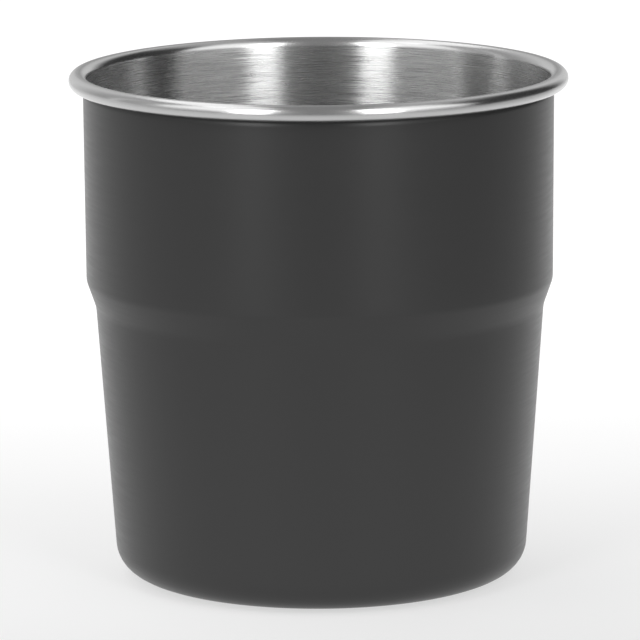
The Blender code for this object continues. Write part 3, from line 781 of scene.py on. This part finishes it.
LAMP_DISTANCE = 1.2
UPRIGHT = {
    "softbox_left": (-30.8, 0, 50, 15.8, 4.4),
    "softbox_right": (28.7, 0, 50, 15.8, 4.3),
    "panel_left": (-60, 20, 64, 40, 0.75),
    "panel_right": (58, 20, 64, 40, 0.75),
    "strip_left": (-105.5, 0, 45, 5, 0.42),
}
CANOPY_HEIGHT = 1.3
CANOPIES = {
    "canopy_left": (-0.55, 0.25, 0.6, 1.2, 1.2),
    "canopy_right": (0.55, 0.25, 0.6, 1.2, 0.25),
    "canopy_back_left": (-0.35, 1.2, 0.46, 0.7, 1.0),
    "canopy_back_right": (0.35, 1.2, 0.46, 0.7, 0.1),
}


def lamp(name, width, length, brightness, place):
    """A rectangular lamp of an even brightness, which is its power over pi times its area, facing -Z of its
    place."""
    made = bpy.data.objects.new(name, bpy.data.lights.new(name, "AREA"))
    bpy.context.scene.collection.objects.link(made)
    made.data.shape = "RECTANGLE"
    made.data.size, made.data.size_y = width, length
    made.data.energy = brightness * math.pi * width * length
    made.matrix_world = place


for name, (turn, low, high, wide, glow) in UPRIGHT.items():
    foot, head = (LAMP_DISTANCE * math.tan(math.radians(rise)) for rise in (low, high))
    lamp(name, 2 * LAMP_DISTANCE * math.tan(math.radians(wide / 2)), head - foot, glow,
         Matrix.Rotation(math.radians(turn), 4, "Z")
         @ Matrix.Translation((0, -LAMP_DISTANCE, VIEW_HEIGHT + (foot + head) / 2))
         @ Matrix.Rotation(math.pi / 2, 4, "X"))
for name, (x, y, width, length, glow) in CANOPIES.items():
    lamp(name, width, length, glow, Matrix.Translation((x, y, CANOPY_HEIGHT)))

# The studio round the lamps, as compass turn from the camera in degrees and brightness there: dim in front,
# pale at the left and at the back, and dark at the right. It goes over to one dim level overhead.
SURROUND = (
    (-180, 0.33), (-172, 0.66), (-155, 0.8), (-140, 0.68), (-120, 0.46), (-92, 0.5), (-75, 0.78), (-38, 0.86),
    (-34, 0.6), (-22, 0.58), (-15, 0.4), (-8, 0.32), (0, 0.3), (8, 0.32), (15, 0.4), (22, 0.58), (33, 0.6),
    (38, 0.98), (50, 0.88), (70, 0.68), (77, 0.05), (138, 0.05), (150, 0.5), (158, 0.78), (172, 0.66),
    (180, 0.33))
ZENITH = 0.3

world = bpy.data.worlds.new("pale_studio")
bpy.context.scene.world = world
world.use_nodes = True
tree = world.node_tree
tree.nodes.clear()
direction = add(tree, "ShaderNodeTexCoord").outputs["Generated"]
split = add(tree, "ShaderNodeSeparateXYZ", {0: direction})
ahead = add(tree, "ShaderNodeMath", {0: split.outputs["Y"], 1: -1.0}, operation="MULTIPLY").outputs[0]
compass = add(tree, "ShaderNodeMath", {0: split.outputs["X"], 1: ahead}, operation="ARCTAN2").outputs[0]
share = add(tree, "ShaderNodeMapRange", {0: compass, 1: -math.pi, 2: math.pi, 3: 0.0, 4: 1.0}).outputs[0]
around = add(tree, "ShaderNodeValToRGB", {0: share})
stops = around.color_ramp.elements
while len(stops) < len(SURROUND):
    stops.new(1.0)
for stop, (degrees, glow) in zip(stops, SURROUND):
    stop.position = (degrees + 180) / 360
    stop.color = (glow, glow, glow, 1)
steep = add(tree, "ShaderNodeMapRange", {0: split.outputs["Z"], 1: 0.6, 2: 0.95},
            interpolation_type="SMOOTHSTEP").outputs[0]
dome = add(tree, "ShaderNodeMixRGB", {
    0: steep, 1: around.outputs[0], 2: (ZENITH, ZENITH, ZENITH, 1)}).outputs[0]
glow = add(tree, "ShaderNodeBackground", {"Color": dome}).outputs[0]
add(tree, "ShaderNodeOutputWorld", {"Surface": glow})
